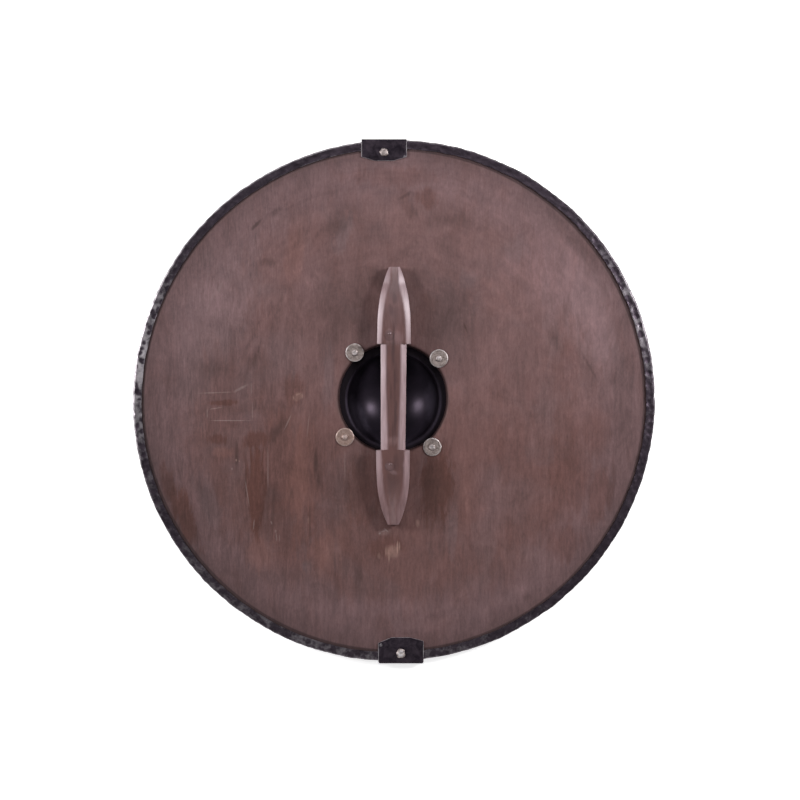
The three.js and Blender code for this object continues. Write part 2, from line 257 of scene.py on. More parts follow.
# Each soft mark: centre x and y, half length across and along, turn in degrees, strength
GREY_MARKS = [
    (-205, 105, 45, 90, -22, 0.45), (-214, -124, 11, 44, 20, 0.40), (-59, 192, 11, 26, -22, 0.60),
    (88, 141, 14, 14, 0, 0.50), (140, 176, 20, 16, 0, 0.45), (68, -152, 9, 44, 0, 0.45),
    (228, 100, 30, 90, 22, 0.40), (-102, -194, 9, 8, 0, 0.60), (185, 95, 12, 50, 8, 0.35),
    (-232, 30, 24, 60, -5, 0.35), (-76, 30, 10, 44, 0, 0.50), (70, 96, 24, 56, 0, 0.30),
]
LIGHT_MARKS = [
    (190, 140, 48, 58, 25, 0.42), (232, 86, 20, 46, 12, 0.32), (140, 156, 26, 24, 0, 0.26),
    (-200, 112, 48, 54, -25, 0.28), (-238, 76, 14, 34, -14, 0.22), (-98, 142, 18, 34, -8, 0.20),
    (110, -116, 20, 60, 0, 0.14), (135, -232, 56, 12, 30, 0.26), (-10, -242, 80, 13, 0, 0.30),
    (206, 34, 14, 30, 0, 0.28), (-168, 64, 30, 14, 20, 0.16), (-247, -14, 13, 20, 0, 0.10),
    (222, -10, 14, 40, -4, 0.18), (-178, -20, 30, 8, 0, 0.20),
]
TAN_MARKS = [
    (-110, -92, 17, 82, 0, 0.50), (-80, -178, 18, 30, -15, 0.36), (-157, -180, 18, 24, 8, 0.36),
    (-202, -60, 15, 8, 0, 0.36), (-124, -22, 26, 12, 0, 0.20), (84, -104, 9, 44, 0, 0.16),
    (-60, -150, 14, 50, -10, 0.20), (-115, 172, 12, 46, -5, 0.20),
]
# The two brown marks beside the lower pad, at x -36 and 50, are partly brown stain and partly painted
# shadow of the grip
BROWN_MARKS = [
    (-200, -3, 20, 3.8, 2, 0.65), (-207, -46, 17, 8, 0, 0.62), (-161, -103, 13, 62, 0, 0.85),
    (-160, -46, 17, 12, 12, 0.70), (-10, -171, 24, 16, 10, 0.45), (206, -88, 36, 54, 0, 0.34),
    (203, 33, 17, 36, 0, 0.28), (39, 237, 15, 14, 0, 0.45), (-116, 10, 13, 24, 0, 0.42),
    (-124, -95, 52, 104, 0, 0.28), (-244, -136, 14, 48, 24, 0.74), (240, -110, 18, 42, -12, 0.44),
    (-36, -106, 24, 50, 0, 0.45), (50, -102, 22, 52, 0, 0.85), (200, -170, 22, 26, -45, 0.36),
    (0, 262, 60, 13, 0, 0.24), (-262, -100, 9, 36, 14, 0.52), (236, -40, 18, 34, 0, 0.30),
]
# The dark mark at x 46 beside the lower pad is partly painted shadow of the grip
DARK_MARKS = [
    (-67, 205, 16, 24, -14, 0.38), (21, 220, 10, 9, 0, 0.40), (66, 211, 28, 12, 10, 0.34),
    (66, 184, 15, 22, 0, 0.20), (189, 71, 8, 20, 20, 0.36), (201, 106, 6, 20, 0, 0.24),
    (-163, 47, 7, 19, -10, 0.46), (-214, 36, 22, 18, 0, 0.38), (-259, 30, 12, 34, -5, 0.34),
    (-139, 94, 8, 36, -15, 0.26), (-118, 80, 12, 26, 0, 0.28), (-147, 162, 10, 6, 0, 0.36),
    (46, -105, 15, 46, 0, 0.24), (-238, -146, 8, 34, 25, 0.22), (-221, -116, 9, 38, 20, 0.26),
    (-42, -210, 7, 30, 0, 0.30), (256, -93, 7, 42, -6, 0.22), (157, -229, 10, 8, 0, 0.28),
    (214, 186, 9, 58, 41, 0.26), (-140, -205, 40, 10, 0, 0.16), (-262, -104, 9, 44, 14, 0.14),
    (-149, -118, 5, 34, 0, 0.34), (-137, -38, 7, 22, -35, 0.45), (-170, 64, 4, 30, -24, 0.30),
    (230, 26, 12, 24, 0, 0.26), (268, 12, 13, 120, -2, 0.30), (-196, 26, 56, 54, 0, 0.12),
]
# Painted shadow of the grip on the stain beside its pads, with smooth edges
PAINTED_GRIP_SHADOW = [
    (-41, 106, 22, 58, 0, 0.52), (-66, 98, 36, 62, 0, 0.38), (62, 96, 40, 66, 0, 0.56),
    (-20, 142, 26, 20, 0, 0.44), (30, 138, 24, 20, 0, 0.34), (-56, -96, 34, 58, 0, 0.26),
    (48, -104, 28, 60, 0, 0.36),
]
# Each scratch or dash, in the same way
DARK_LINES = [
    (-160, 206, 2.6, 11, -44, 0.60), (-139, 220, 4, 17, -58, 0.30), (-110, 231, 3.4, 30, -66, 0.14),
    (-78, 242, 3.2, 24, -75, 0.14), (-121, 177, 5, 20, -55, 0.24), (13, 239, 3, 11, -60, 0.34),
    (84, 85, 1.9, 10, 20, 0.62), (230, 38, 2.4, 23, 30, 0.34), (-183, -62, 3.0, 22, 0, 0.50),
    (-173, -102, 1.7, 30, 0, 0.46), (-141, -122, 3.0, 36, -2, 0.44), (-163, -5, 3, 9, 0, 0.34),
    (-91, -74, 3.2, 20, 0, 0.55), (-88, -94, 2.6, 14, 0, 0.40), (-98, -143, 1.8, 28, 0, 0.38),
    (-223, -42, 1.4, 12, 0, 0.36), (-157, 62, 2, 16, -14, 0.3), (-250, -88, 1.8, 20, 12, 0.3),
]
PALE_LINES = [
    (-192, -23.6, 28, 0.8, 0, 0.50), (-218, -16, 0.9, 8, 0, 0.45), (-208, -9.3, 10, 0.8, 9, 0.34),
    (-165, -13, 0.8, 12, 0, 0.24), (-166.5, 13, 0.8, 11, 0, 0.26), (-208, 9, 24, 1.0, 2, 0.26),
    (-179, 14, 10, 2.4, 28, 0.34), (-171, -110, 0.8, 18, 9, 0.34), (-163.5, -145, 0.8, 7, -6, 0.36),
    (-147, -78, 1.0, 24, 0, 0.26), (-57, -77, 0.8, 20, 0, 0.18), (-203, 132, 2.2, 10, -20, 0.14),
    (-213, 118, 1.6, 18, -24, 0.08), (-8.4, -152.1, 3.8, 1.0, -40, 0.70),
    (-16, -155.5, 2.0, 1.4, 30, 0.55), (-12, -153, 5, 1.1, 15, 0.45), (-11, -154, 10, 5, 10, 0.16),
    (-123.5, -25, 0.9, 13, -25, 0.30), (-100, -30, 0.8, 18, -6, 0.20), (-189, -80, 1.3, 1.8, 0, 0.30),
    (-143, -143, 1.1, 2.6, 20, 0.36), (-138, -153, 1.4, 2.0, 0, 0.25), (-137, -160, 0.8, 6, 4, 0.34),
    (-133.5, -161, 0.7, 5, 3, 0.28),
]
RUBBED_SPOTS = [
    (-1, -177, 10, 10, 0, 0.36), (-9, -177, 1.0, 7, 0, 0.45), (-5.4, -181, 1.1, 10, 0, 0.60),
    (-1.4, -176, 1.5, 7, 0, 0.50), (4.4, -173, 1.5, 9, 0, 0.80), (6.8, -171, 1.0, 6, 0, 0.60),
    (-17, -182, 2.4, 4.5, 0, 0.24), (28, -144, 3.2, 6, 0, 0.26), (-112, 4, 9, 6, 20, 0.20),
    (-117, 3, 1.1, 4, 15, 0.36), (-112, 7, 4, 1.4, 20, 0.40), (-107, 5, 1.0, 4, 0, 0.36),
    (-184, -70, 1.1, 1.8, 0, 0.55), (-180.5, -71, 0.9, 1.4, 0, 0.40), (-100, -140, 1.4, 5, 0, 0.20),
]
smudges_and_shadows = GREY_MARKS + LIGHT_MARKS + TAN_MARKS + BROWN_MARKS + DARK_MARKS + PAINTED_GRIP_SHADOW
scratches = DARK_LINES + PALE_LINES + RUBBED_SPOTS
print(len(smudges_and_shadows), "smudges,", len(scratches), "scratches and rubbed spots")

# %% [markdown]
# Each soft mark is an oval, a round gradient that falls from 1 at its centre to 0 well outside its edge.
# A cloudy pattern is added before the step, so that the edge is ragged like a wiped stain. In the upper
# half the rag went round with the rim, so the strokes there read the distance from the middle and the way
# round.

# %% The soft marks and the rag's strokes
# How far each gradient reaches past its mark, and the radius on which the way round is measured
GRADIENT_REACH = 1.6
SWEEP_RADIUS = 200.0


def soft_marks(tree, where, marks, ragged, outer, inner):
    """The strongest of several ovals, which fade in from an outer to an inner share of their size."""
    total = 0.0
    for x, y, across, along, turn, strength in marks:
        place = {
            "Vector": where, "Location": (x, y, 0), "Rotation": (0, 0, math.radians(turn)),
            "Scale": (across * GRADIENT_REACH, along * GRADIENT_REACH, 1e5),
        }
        oval = add(tree, "Mapping", place, vector_type="TEXTURE")[0]
        within = add(tree, "TexGradient", {"Vector": oval}, gradient_type="SPHERICAL")["Fac"]
        uneven = add(tree, "Math", {0: within, 1: ragged}, operation="ADD")[0]
        step = {
            "Value": uneven, "To Max": strength,
            "From Min": 1 - outer / GRADIENT_REACH, "From Max": 1 - inner / GRADIENT_REACH,
        }
        mark = add(tree, "MapRange", step, interpolation_type="SMOOTHSTEP")[0]
        total = add(tree, "Math", {0: total, 1: mark}, operation="MAXIMUM")[0]
    return total


def round_the_middle(tree, where):
    """The distance from the middle, the place up the board, the height, and a place swept round."""
    part = add(tree, "SeparateXYZ", {"Vector": where})
    flat = add(tree, "CombineXYZ", {"X": part[0], "Y": part[1]})[0]
    reach = add(tree, "VectorMath", {0: flat}, operation="LENGTH")["Value"]
    angle = add(tree, "Math", {0: part[0], 1: part[1]}, operation="ARCTAN2")[0]
    around = add(tree, "Math", {0: angle, 1: SWEEP_RADIUS}, operation="MULTIPLY")[0]
    swept = add(tree, "CombineXYZ", {"X": reach, "Y": around, "Z": part[2]})[0]
    return reach, part[1], part[2], swept


# %% [markdown]
# ## The stain's colour
# The colour is built up in layers. First come washes of a few close tones, then what hands and floors
# have left and the painted shadow beside the grip, the broad marks before the fine ones, and last a dark
# line of painted shade along the rim's lip, and a dark cut edge of the hand hole that is partly end grain
# soaked with stain and partly painted shade. All but the washes stays on the back, so the
# front, which the picture doesn't show, is plainer.

# %% The stain's colour
def washed(tree, where, reach, up, ragged):
    """The washes: warmer in the lower half, greyer and browner in clouds, paler towards the rim."""
    greyer = cloudy(tree, where, (60, 80, 60), 0, 0.36, (0.44, 0.7), warp=0.8, shift=7.3)
    browner = cloudy(tree, where, (34, 80, 60), 0, 0.22, (0.48, 0.72), warp=0.5, shift=11.0)
    lower = {"Value": up, "From Min": 50.0, "From Max": -60.0}
    lower = add(tree, "MapRange", lower, interpolation_type="SMOOTHSTEP")[0]
    wash = add(tree, "Math", {0: ragged, 1: 40.0, 2: reach}, operation="MULTIPLY_ADD")[0]
    wash = {"Value": wash, "From Min": 214.0, "From Max": 262.0, "To Max": 0.75}
    wash = add(tree, "MapRange", wash, interpolation_type="SMOOTHSTEP")[0]
    colour = linear(STAIN)
    for amount, paint in (
        (lower, STAIN_LOW), (greyer, STAIN_GREY), (wash, STAIN_WASH), (browner, STAIN_BROWN),
    ):
        colour = add(tree, "Mix", {"Factor": amount, 6: colour, 7: linear(paint)}, data_type="RGBA")[2]
    return colour


def marked(tree, where, colour, ragged, on_back):
    """The colour with the marks of the back laid over it."""
    crisp = add(tree, "Math", {0: ragged, 1: 0.6}, operation="MULTIPLY")[0]
    smooth = add(tree, "Math", {0: ragged, 1: 0.2}, operation="MULTIPLY")[0]
    for marks, paint, edge, outer, inner in (
        (GREY_MARKS, STAIN_GREY, ragged, 1.2, 0.3), (LIGHT_MARKS, STAIN_LIGHT, crisp, 1.35, 0.0),
        (TAN_MARKS, STAIN_TAN, ragged, 1.15, 0.4), (BROWN_MARKS, STAIN_BROWN, ragged, 1.1, 0.5),
        (DARK_MARKS, DARK_STAIN_AND_SHADOW, ragged, 1.25, 0.15), (PAINTED_GRIP_SHADOW, DARK_STAIN_AND_SHADOW, smooth, 1.4, 0.0),
        (DARK_LINES, DARK_STAIN_AND_SHADOW, crisp, 1.1, 0.2),
        (PALE_LINES, CHALKED, crisp, 1.1, 0.4), (RUBBED_SPOTS, RUBBED_THROUGH, crisp, 1.1, 0.4),
    ):
        amount = soft_marks(tree, where, marks, edge, outer, inner)
        amount = add(tree, "Math", {0: amount, 1: on_back}, operation="MULTIPLY")[0]
        colour = add(tree, "Mix", {"Factor": amount, 6: colour, 7: linear(paint)}, data_type="RGBA")[2]
    return colour


def lip_shade_and_cut_edge(tree, colour, reach, height, on_back):
    """The colour with painted shade along the rim's lip, and on the hole's cut edge end grain stain with
    painted shade.
    """
    # The dark line along the rim's lip is painted shade in the gap under the lip
    lip_line = {
        "Value": reach, "To Max": 0.65, "From Min": BOARD_RADIUS - 12.5, "From Max": BOARD_RADIUS - 10.5,
    }
    lip_line = add(tree, "MapRange", lip_line, interpolation_type="SMOOTHSTEP")[0]
    # The cut edge is partly end grain soaked with stain and partly painted shade on its rounding
    cut_edge = {"Value": height, "From Min": BOARD_THICK, "From Max": BOARD_THICK - 2.0, "To Max": 0.8}
    cut_edge = add(tree, "MapRange", cut_edge, interpolation_type="SMOOTHSTEP")[0]
    cut_edge = add(tree, "Math", {0: cut_edge, 1: on_back}, operation="MULTIPLY")[0]
    amount = add(tree, "Math", {0: lip_line, 1: cut_edge}, operation="MAXIMUM")[0]
    return add(tree, "Mix", {"Factor": amount, 6: colour, 7: linear(LINE_SHADE_AND_STAIN)}, data_type="RGBA")[2]


# %% [markdown]
# ## The stain's tones
# Tones are factors a little under or over 1, by which the colour is multiplied. The rag's strokes go up
# the lower half and round with the rim in the upper one. Clouds, streaks, fibres and pores break them up
# at ever finer sizes, the fibres mostly at the left, where the board is rubbed. Real fibres and pores
# are too fine to show in the picture, so both are drawn as coarse as they need to be. Slow changes make
# the board lighter towards its top and right, and darker close to the rim.

# %% The stain's tones and the stained plywood
def stain_tones(tree, where, swept, reach, up):
    """The tones, and the relief of the strokes and streaks."""
    straight = cloudy(tree, where, (6, 40, 20), 0.89, 1.11, (0.3, 0.7), detail=5, rough=0.65, warp=0.5)
    circling = cloudy(tree, swept, (12, 46, 20), 0.89, 1.11, (0.3, 0.7), detail=5, rough=0.6, warp=0.3)
    upper = {"Value": up, "From Min": 20.0, "From Max": 150.0, "To Max": 0.75}
    upper = add(tree, "MapRange", upper, interpolation_type="SMOOTHSTEP")[0]
    wiped = add(tree, "Mix", {"Factor": upper, 2: straight, 3: circling}, data_type="FLOAT")[0]
    mottled = cloudy(tree, where, (34, 46, 20), 0.87, 1.13, (0.3, 0.7), detail=7, rough=0.7, warp=1.2)
    streaks = cloudy(tree, where, (3, 14, 8), 0.91, 1.09, (0.3, 0.7), detail=4, rough=0.75, warp=0.4)
    rising = {"Value": up, "From Min": -100.0, "From Max": 90.0, "To Min": 0.82, "To Max": 1.02}
    rising = add(tree, "MapRange", rising, interpolation_type="SMOOTHSTEP")[0]
    across = add(tree, "SeparateXYZ", {"Vector": where})[0]
    rightward = add(tree, "Math", {0: across, 1: 0.00045, 2: 1.01}, operation="MULTIPLY_ADD")[0]
    left = {"Value": across, "From Min": -40.0, "From Max": -150.0, "To Min": 0.45, "To Max": 1.0}
    left = add(tree, "MapRange", left, interpolation_type="SMOOTHSTEP")[0]
    brushed = cloudy(tree, where, (26, 50, 20), 0.3, 1.7, (0.35, 0.65), warp=0.8, shift=5.0)
    brushed = add(tree, "Math", {0: brushed, 1: left}, operation="MULTIPLY")[0]
    fibres = cloudy(tree, where, (1.4, 14, 6), -0.10, 0.10, (0.25, 0.75), detail=3, warp=0.5)
    fibres = add(tree, "Math", {0: fibres, 1: brushed, 2: 1.0}, operation="MULTIPLY_ADD")[0]
    pores = cloudy(tree, where, (2.2, 4.0, 4), 0.94, 1.06, (0.3, 0.7), detail=2, warp=0.8, shift=12.0)
    rimward = {"Value": reach, "From Min": 266.0, "From Max": 292.0, "To Min": 1.0, "To Max": 0.76}
    rimward = add(tree, "MapRange", rimward)[0]
    relief = add(tree, "Math", {0: streaks, 1: straight}, operation="ADD")[0]
    return (wiped, mottled, streaks, fibres, pores, rising, rightward, rimward), relief


def stained_plywood():
    material, tree, where = new_material("stained_plywood")
    reach, up, height, swept = round_the_middle(tree, where)
    ragged = cloudy(tree, where, (7, 34, 20), -0.22, 0.22, (0.25, 0.75), detail=5, warp=0.6)
    on_back = add(tree, "Math", {0: height, 1: BOARD_THICK / 2}, operation="GREATER_THAN")[0]
    colour = washed(tree, where, reach, up, ragged)
    colour = marked(tree, where, colour, ragged, on_back)
    colour = lip_shade_and_cut_edge(tree, colour, reach, height, on_back)
    tones, relief = stain_tones(tree, where, swept, reach, up)
    for tone in tones:
        colour = add(tree, "VectorMath", {0: colour, "Scale": tone}, operation="SCALE")[0]
    rough = cloudy(tree, where, (12, 60, 20), 0.52, 0.68, shift=1.7)
    finish_surface(tree, colour, rough, relief, 0.6, **{"Specular IOR Level": 0.3})
    return material


board_stain = stained_plywood()
print("board stain:", len(board_stain.node_tree.nodes), "nodes")

# %% [markdown]
# ## The board
# A disc of plywood with a hand hole whose edge was rounded with a rasp. Its section is drawn once, from
# the hole to the outer edge and back, and spun. The hole was cut by hand, so its edge is then let
# wander a little, most at the lower right.

# %% The board
HAND_HOLE = (-1.0, 2.6)
HAND_HOLE_RADIUS = 62.8
HOLE_ROUND = 5.0
HOLE_FRONT_BEVEL = 0.8
BOARD_EDGE = 1.3
# How far the hole's edge wanders, how much wider the saw ran once, and where, in degrees
HOLE_WANDER = 0.5
SAW_SLIP = 1.0
SAW_SLIP_AT = -44


def board_mesh():
    hole = HAND_HOLE_RADIUS
    rings = [hole + HOLE_ROUND + 3, 90, 140, 200, 250, BOARD_RADIUS - 12]
    edge = BOARD_RADIUS - BOARD_EDGE
    profile = (
        arc(hole + HOLE_ROUND, BOARD_THICK - HOLE_ROUND, HOLE_ROUND, HOLE_ROUND, 180, 90, 8)
        + [(r, BOARD_THICK) for r in rings]
        + arc(edge, BOARD_THICK - BOARD_EDGE, BOARD_EDGE, BOARD_EDGE, 90, 0, 3)
        + arc(edge, BOARD_EDGE, BOARD_EDGE, BOARD_EDGE, 0, -90, 3)
        + [(r, 0) for r in reversed(rings)]
        + [(hole + HOLE_FRONT_BEVEL, 0), (hole, HOLE_FRONT_BEVEL)]
    )
    bm = spun(profile, 288, closed=True)
    for v in bm.verts:
        reach = math.hypot(v.co.x, v.co.y)
        angle = math.degrees(math.atan2(v.co.y, v.co.x))
        near = max(0.0, 1 - (reach - hole) / 30)
        wander = noise.noise(v.co / 24) * HOLE_WANDER
        wander += SAW_SLIP * math.exp(-(((angle - SAW_SLIP_AT) / 14) ** 2))
        v.co.x *= 1 + wander * near / reach
        v.co.y *= 1 + wander * near / reach
        inward = min(1.0, max(0.0, (BOARD_RADIUS - reach) / (BOARD_RADIUS - hole)))
        v.co.x += HAND_HOLE[0] * inward
        v.co.y += HAND_HOLE[1] * inward
    return bm


finish_piece(board_mesh(), "shield_board", board_stain, "stained_board", "board")

# %% [markdown]
# ## Blackened steel, hammered and rubbed
# Rim and clips are mild steel sheet, blacked in the fire and oiled, then rubbed bright where hands and
# floors touch it. A metal shader with a dark base gives the oiled black, and a paler, smoother metal
# shows through on the high spots, which the mesh marks with an attribute as the hammer leaves them.
# On some arcs of the rim that paler metal is also a painted glint of the lights.
# Rivets and washers are bare steel, gone dull and pitted, and bright only where they are marked as rubbed.
# The specks and pits are wider than real ones, so that they show.

# %% The metals
RIM_BLACK = "#3d353d"
CLIP_BLACK = "#2c262e"
FIRE_BLACK = "#4c434c"
RUBBED_AND_GLINT = "#c4bdc2"
BARE_STEEL = "#cfc2c0"
DULL_STEEL = "#b5a7a2"
PITTED = "#857875"
POLISHED = "#f6f0f2"
RUST_TINGE = "#b89587"
# The lower left washer and its rivet are a little rusty, as a mark like those of the board
RUST_TINGED = [(-57, -42.4, 12, 12, 0, 0.5)]


def blackened_steel(name, black, rough):
    material, tree, where = new_material(name)
    worn_and_sheen = add(tree, "Attribute", attribute_name="wear_and_sheen")["Fac"]
    patches = cloudy(tree, where, (12, 12, 12), 0.5, 1.0, (0.35, 0.6), detail=3, warp=0.5)
    specks = cloudy(tree, where, (2.2, 2.2, 2.2), 0.08, 0.32, (0, 1), detail=3, shift=5.0)
    broken = add(tree, "Math", {0: worn_and_sheen, 1: patches, 2: specks}, operation="MULTIPLY_ADD")[0]
    # Rubbed metal, and on the rim's brighter arcs a painted glint of the lights
    rub_and_sheen = {"Value": broken, "From Min": 0.3, "From Max": 1.1}
    rub_and_sheen = add(tree, "MapRange", rub_and_sheen, interpolation_type="SMOOTHSTEP")[0]
    scaled = cloudy(tree, where, (9, 9, 9), 0, 1, detail=5, warp=0.5, shift=2.0)
    colour = linear(black)
    for amount, paint in ((scaled, FIRE_BLACK), (rub_and_sheen, RUBBED_AND_GLINT)):
        colour = add(tree, "Mix", {"Factor": amount, 6: colour, 7: linear(paint)}, data_type="RGBA")[2]
    dulled = cloudy(tree, where, (9, 9, 9), rough, rough + 0.2, (0.2, 0.8), detail=5, shift=8.0)
    finish_surface(tree, colour, dulled, specks, 0.4, Metallic=1.0)
    return material


def bare_steel(name, colour, rough, grain):
    material, tree, where = new_material(name)
    clean = cloudy(tree, where, (grain, grain, grain), 0, 1, (0.3, 0.65), detail=5, warp=0.8)
    dulled = cloudy(tree, where, (grain, grain, grain), rough + 0.1, rough - 0.05, detail=5, shift=3.0)
    worn_and_sheen = add(tree, "Attribute", attribute_name="wear_and_sheen")["Fac"]
    broken = cloudy(tree, where, (4, 4, 4), 0.0, 0.5, (0.35, 0.6), shift=6.0)
    worn_and_sheen = add(tree, "Math", {0: worn_and_sheen, 1: broken}, operation="MULTIPLY")[0]
    rusty = soft_marks(tree, where, RUST_TINGED, 0.0, 1.2, 0.9)
    tone = linear(PITTED)
    for amount, paint in ((clean, colour), (worn_and_sheen, POLISHED), (rusty, RUST_TINGE)):
        tone = add(tree, "Mix", {"Factor": amount, 6: tone, 7: linear(paint)}, data_type="RGBA")[2]
    finish_surface(tree, tone, dulled, clean, 0.3, Metallic=1.0)
    return material


rim_steel = blackened_steel("hammered_black_steel", RIM_BLACK, 0.36)
clip_steel = blackened_steel("black_clip_steel", CLIP_BLACK, 0.40)
rivet_steel = bare_steel("peened_steel", BARE_STEEL, 0.5, 2.2)
washer_steel = bare_steel("dull_steel", DULL_STEEL, 0.52, 3.0)
print("metals:", rim_steel.name, clip_steel.name, rivet_steel.name, washer_steel.name)

# %% [markdown]
# ## The rim
# A strip of sheet steel folded over the edge and hammered down in overlapping blows. Half of it is one
# spin of the folded section. Each blow leaves a shallow dish around a centre of a cell pattern, and the
# metal between the dishes stays high, where it is rubbed bright. Some arcs of the rim are paler, partly
# worn more and partly painted with a glint of the lights.

# %% The rim's section and its wear
RIM_SHEET = 1.2
RIM_LIP = 10.5
RIM_FOLD = 2.2
RIM_JOINT = 1.6
TOP_CLIP_X = -11.2
BOTTOM_CLIP_X = 8.5
BLOW_ALONG = 8.0
BLOW_AROUND = 7.0
BLOW_DEEP = 0.48
# How the blows have spread the outline: all round, as an oval and towards one side
SPREAD_ALL = 0.55
SPREAD_OVAL = 0.8
SPREAD_ASIDE = 0.3
# How high the back lip stands off the board at the right, where it has come loose
LIP_LOOSE = 0.7
# Each arc that is worn more and painted with a glint: its middle and half its length in degrees, and how
# much more its high spots, its fold and all of its surface are paler
WORN_AND_GLINT_ARCS = [
    (20, 22, 0.24, 0.24, 0.07), (105, 36, 0.05, 0.85, 0.0), (170, 18, 0.55, 0.80, 0.10),
    (248, 62, 0.08, 0.10, 0.20),
]
print("rim:", RIM_SHEET, "mm sheet,", RIM_LIP, "mm lip,", len(WORN_AND_GLINT_ARCS), "worn arcs")


def rim_section():
    """The folded section, from the front lip's edge round the outside to the back lip's, then inside."""
    half = BOARD_THICK / 2 + FIT_GAP + RIM_SHEET
    lip = RIM_RADIUS - RIM_LIP
    fold = RIM_RADIUS - RIM_FOLD
    inner = RIM_FOLD - RIM_SHEET
    count = 8
    out = [(mix(lip, fold, i / count), -half) for i in range(count)]
    out += arc(fold, RIM_FOLD - half, RIM_FOLD, RIM_FOLD, -90, 0, 4)
    out += [(RIM_RADIUS, mix(RIM_FOLD - half, half - RIM_FOLD, i / 7)) for i in range(1, 7)]
    out += arc(fold, half - RIM_FOLD, RIM_FOLD, RIM_FOLD, 0, 90, 4)
    out += [(mix(lip, fold, i / count), half) for i in reversed(range(count))]
    into = half - RIM_SHEET
    inside = [(lip, into)] + arc(fold, into - inner, inner, inner, 90, 0, 2)
    inside += arc(fold, inner - into, inner, inner, 0, -90, 2) + [(lip, -into)]
    return [(r, z + BOARD_THICK / 2) for r, z in out + inside]


def rim_wear_and_glint(degrees, reach, up, high_spot):
    """How pale one spot of the rim is, partly rubbed and partly painted glint: its high spots, its fold
    and its lip's edge.
    """
    spots, line, all_over = 0.10, 0.20, 0.0
    for middle, spread, *more in WORN_AND_GLINT_ARCS:
        away = abs((degrees - middle + 180) % 360 - 180) / spread
        near = math.exp(-away * away)
        spots, line, all_over = (a + b * near for a, b in zip((spots, line, all_over), more))
    fold = soft_step(RIM_RADIUS - 2.6, RIM_RADIUS - 1.0, reach) * soft_step(1.5, 4.5, abs(up))
    edge = soft_step(RIM_RADIUS - RIM_LIP + 1.2, RIM_RADIUS - RIM_LIP, reach)
    return all_over + max(spots * high_spot, line * fold, 0.35 * line * edge)


# %% [markdown]
# Hammering is a move of each vertex on the outside of the strip. The moves are worked out first, from the
# shape as it was spun, and made afterwards, so that one blow doesn't turn the normals of the next.

# %% The hammered rim
def hammer(bm, seed):
    """Dents the outside of a rim half, lets its outline waver and marks what is rubbed and what has
    painted glint.
    """
    wear_and_sheen = bm.verts.layers.float.new("wear_and_sheen")
    bm.normal_update()
    moves = []
    for v in bm.verts:
        angle = math.atan2(v.co.y, v.co.x)
        degrees = math.degrees(angle)
        reach = math.hypot(v.co.x, v.co.y)
        up = v.co.z - BOARD_THICK / 2
        outward = Vector((math.cos(angle), math.sin(angle), 0))
        waver = SPREAD_ALL + SPREAD_OVAL * math.cos(2 * (angle - math.radians(35)))
        waver += SPREAD_ASIDE * math.cos(angle + math.radians(30))
        waver += 0.5 * noise.noise(outward * 9) + 0.4 * noise.noise(outward * 31)
        move = outward * waver
        if up > 4:
            loose = soft_step(80, 20, abs(degrees - 5))
            loose *= soft_step(RIM_RADIUS - 5, RIM_RADIUS - 11, reach)
            move.z += LIP_LOOSE * loose
        v[wear_and_sheen] = 0.0
        if v.normal.dot(outward) > 0.3 or up * v.normal.z > 0:
            around = math.copysign(RIM_RADIUS - reach + 4.5, up) if abs(up) > 4.5 else up
            spot = Vector((angle * RIM_RADIUS / BLOW_ALONG, around / BLOW_AROUND, seed))
            distances, centres = noise.voronoi(spot)
            deep = BLOW_DEEP * (1 + 0.4 * noise.cell(centres[0] * 3.7))
            dish = 1 - soft_step(0.05, 0.7, distances[0])
            move += v.normal * (0.12 * noise.noise(spot * 2.4) - dish * deep)
            v[wear_and_sheen] = rim_wear_and_glint(degrees, reach, up, soft_step(0.3, 0.62, distances[0]))
        moves.append((v, move))
    for v, move in moves:
        v.co += move


def rim_half(name, side):
    top = math.degrees(math.atan2(RIM_RADIUS, TOP_CLIP_X))
    bottom = math.degrees(math.atan2(-RIM_RADIUS, BOTTOM_CLIP_X))
    gap = math.degrees(RIM_JOINT / 2 / RIM_RADIUS)
    start, end = (bottom + gap, top - gap) if side > 0 else (top + gap, bottom + 360 - gap)
    bm = spun(rim_section(), 720, closed=True, start=start, turn=end - start)
    hammer(bm, 3.0 + side)
    return finish_piece(bm, "hammered_" + name, rim_steel, "hammered_rim", name, sharp=50)


rim_half("rim_left", -1)
rim_half("rim_right", 1)

# %% [markdown]
# ## The boss
# A bowl pressed from sheet steel with a flat flange, painted black. Seen from behind it is a dark hollow,
# and the paint's gloss shows the two side lights on its wall. Paler patches on the walls are a painted
# glow of the lights, and the flange's ring inside the hand hole is darkened as painted shade.

# %% Black paint and the boss
BOSS = (-0.8, 1.1)
BOSS_INSIDE = 53.5
BOSS_DEEP = 42.0
BOSS_SHEET = 1.8
BOSS_NECK = 3.0
BOSS_BEND = 3.5
FLANGE_RADIUS = 86.0
REST_FLAT = 0.6

PAINT_BLACK = "#1f1b22"
PAINT_FADED = "#28222b"
PAINT_GLOW = "#4d4653"
PAINT_CHIPPED = "#5c565a"
FLANGE_SHADE = "#0d0a0b"
# Painted glow of the lights on the bowl's walls, as marks like those of the board
BOSS_GLOW_MARKS = [
    (48, -6, 11, 32, 0, 0.55), (-44, -20, 11, 30, 23, 1.0), (-49, 20, 8, 20, -25, 0.25),
    (0, -50, 24, 8, 0, 0.2),
]


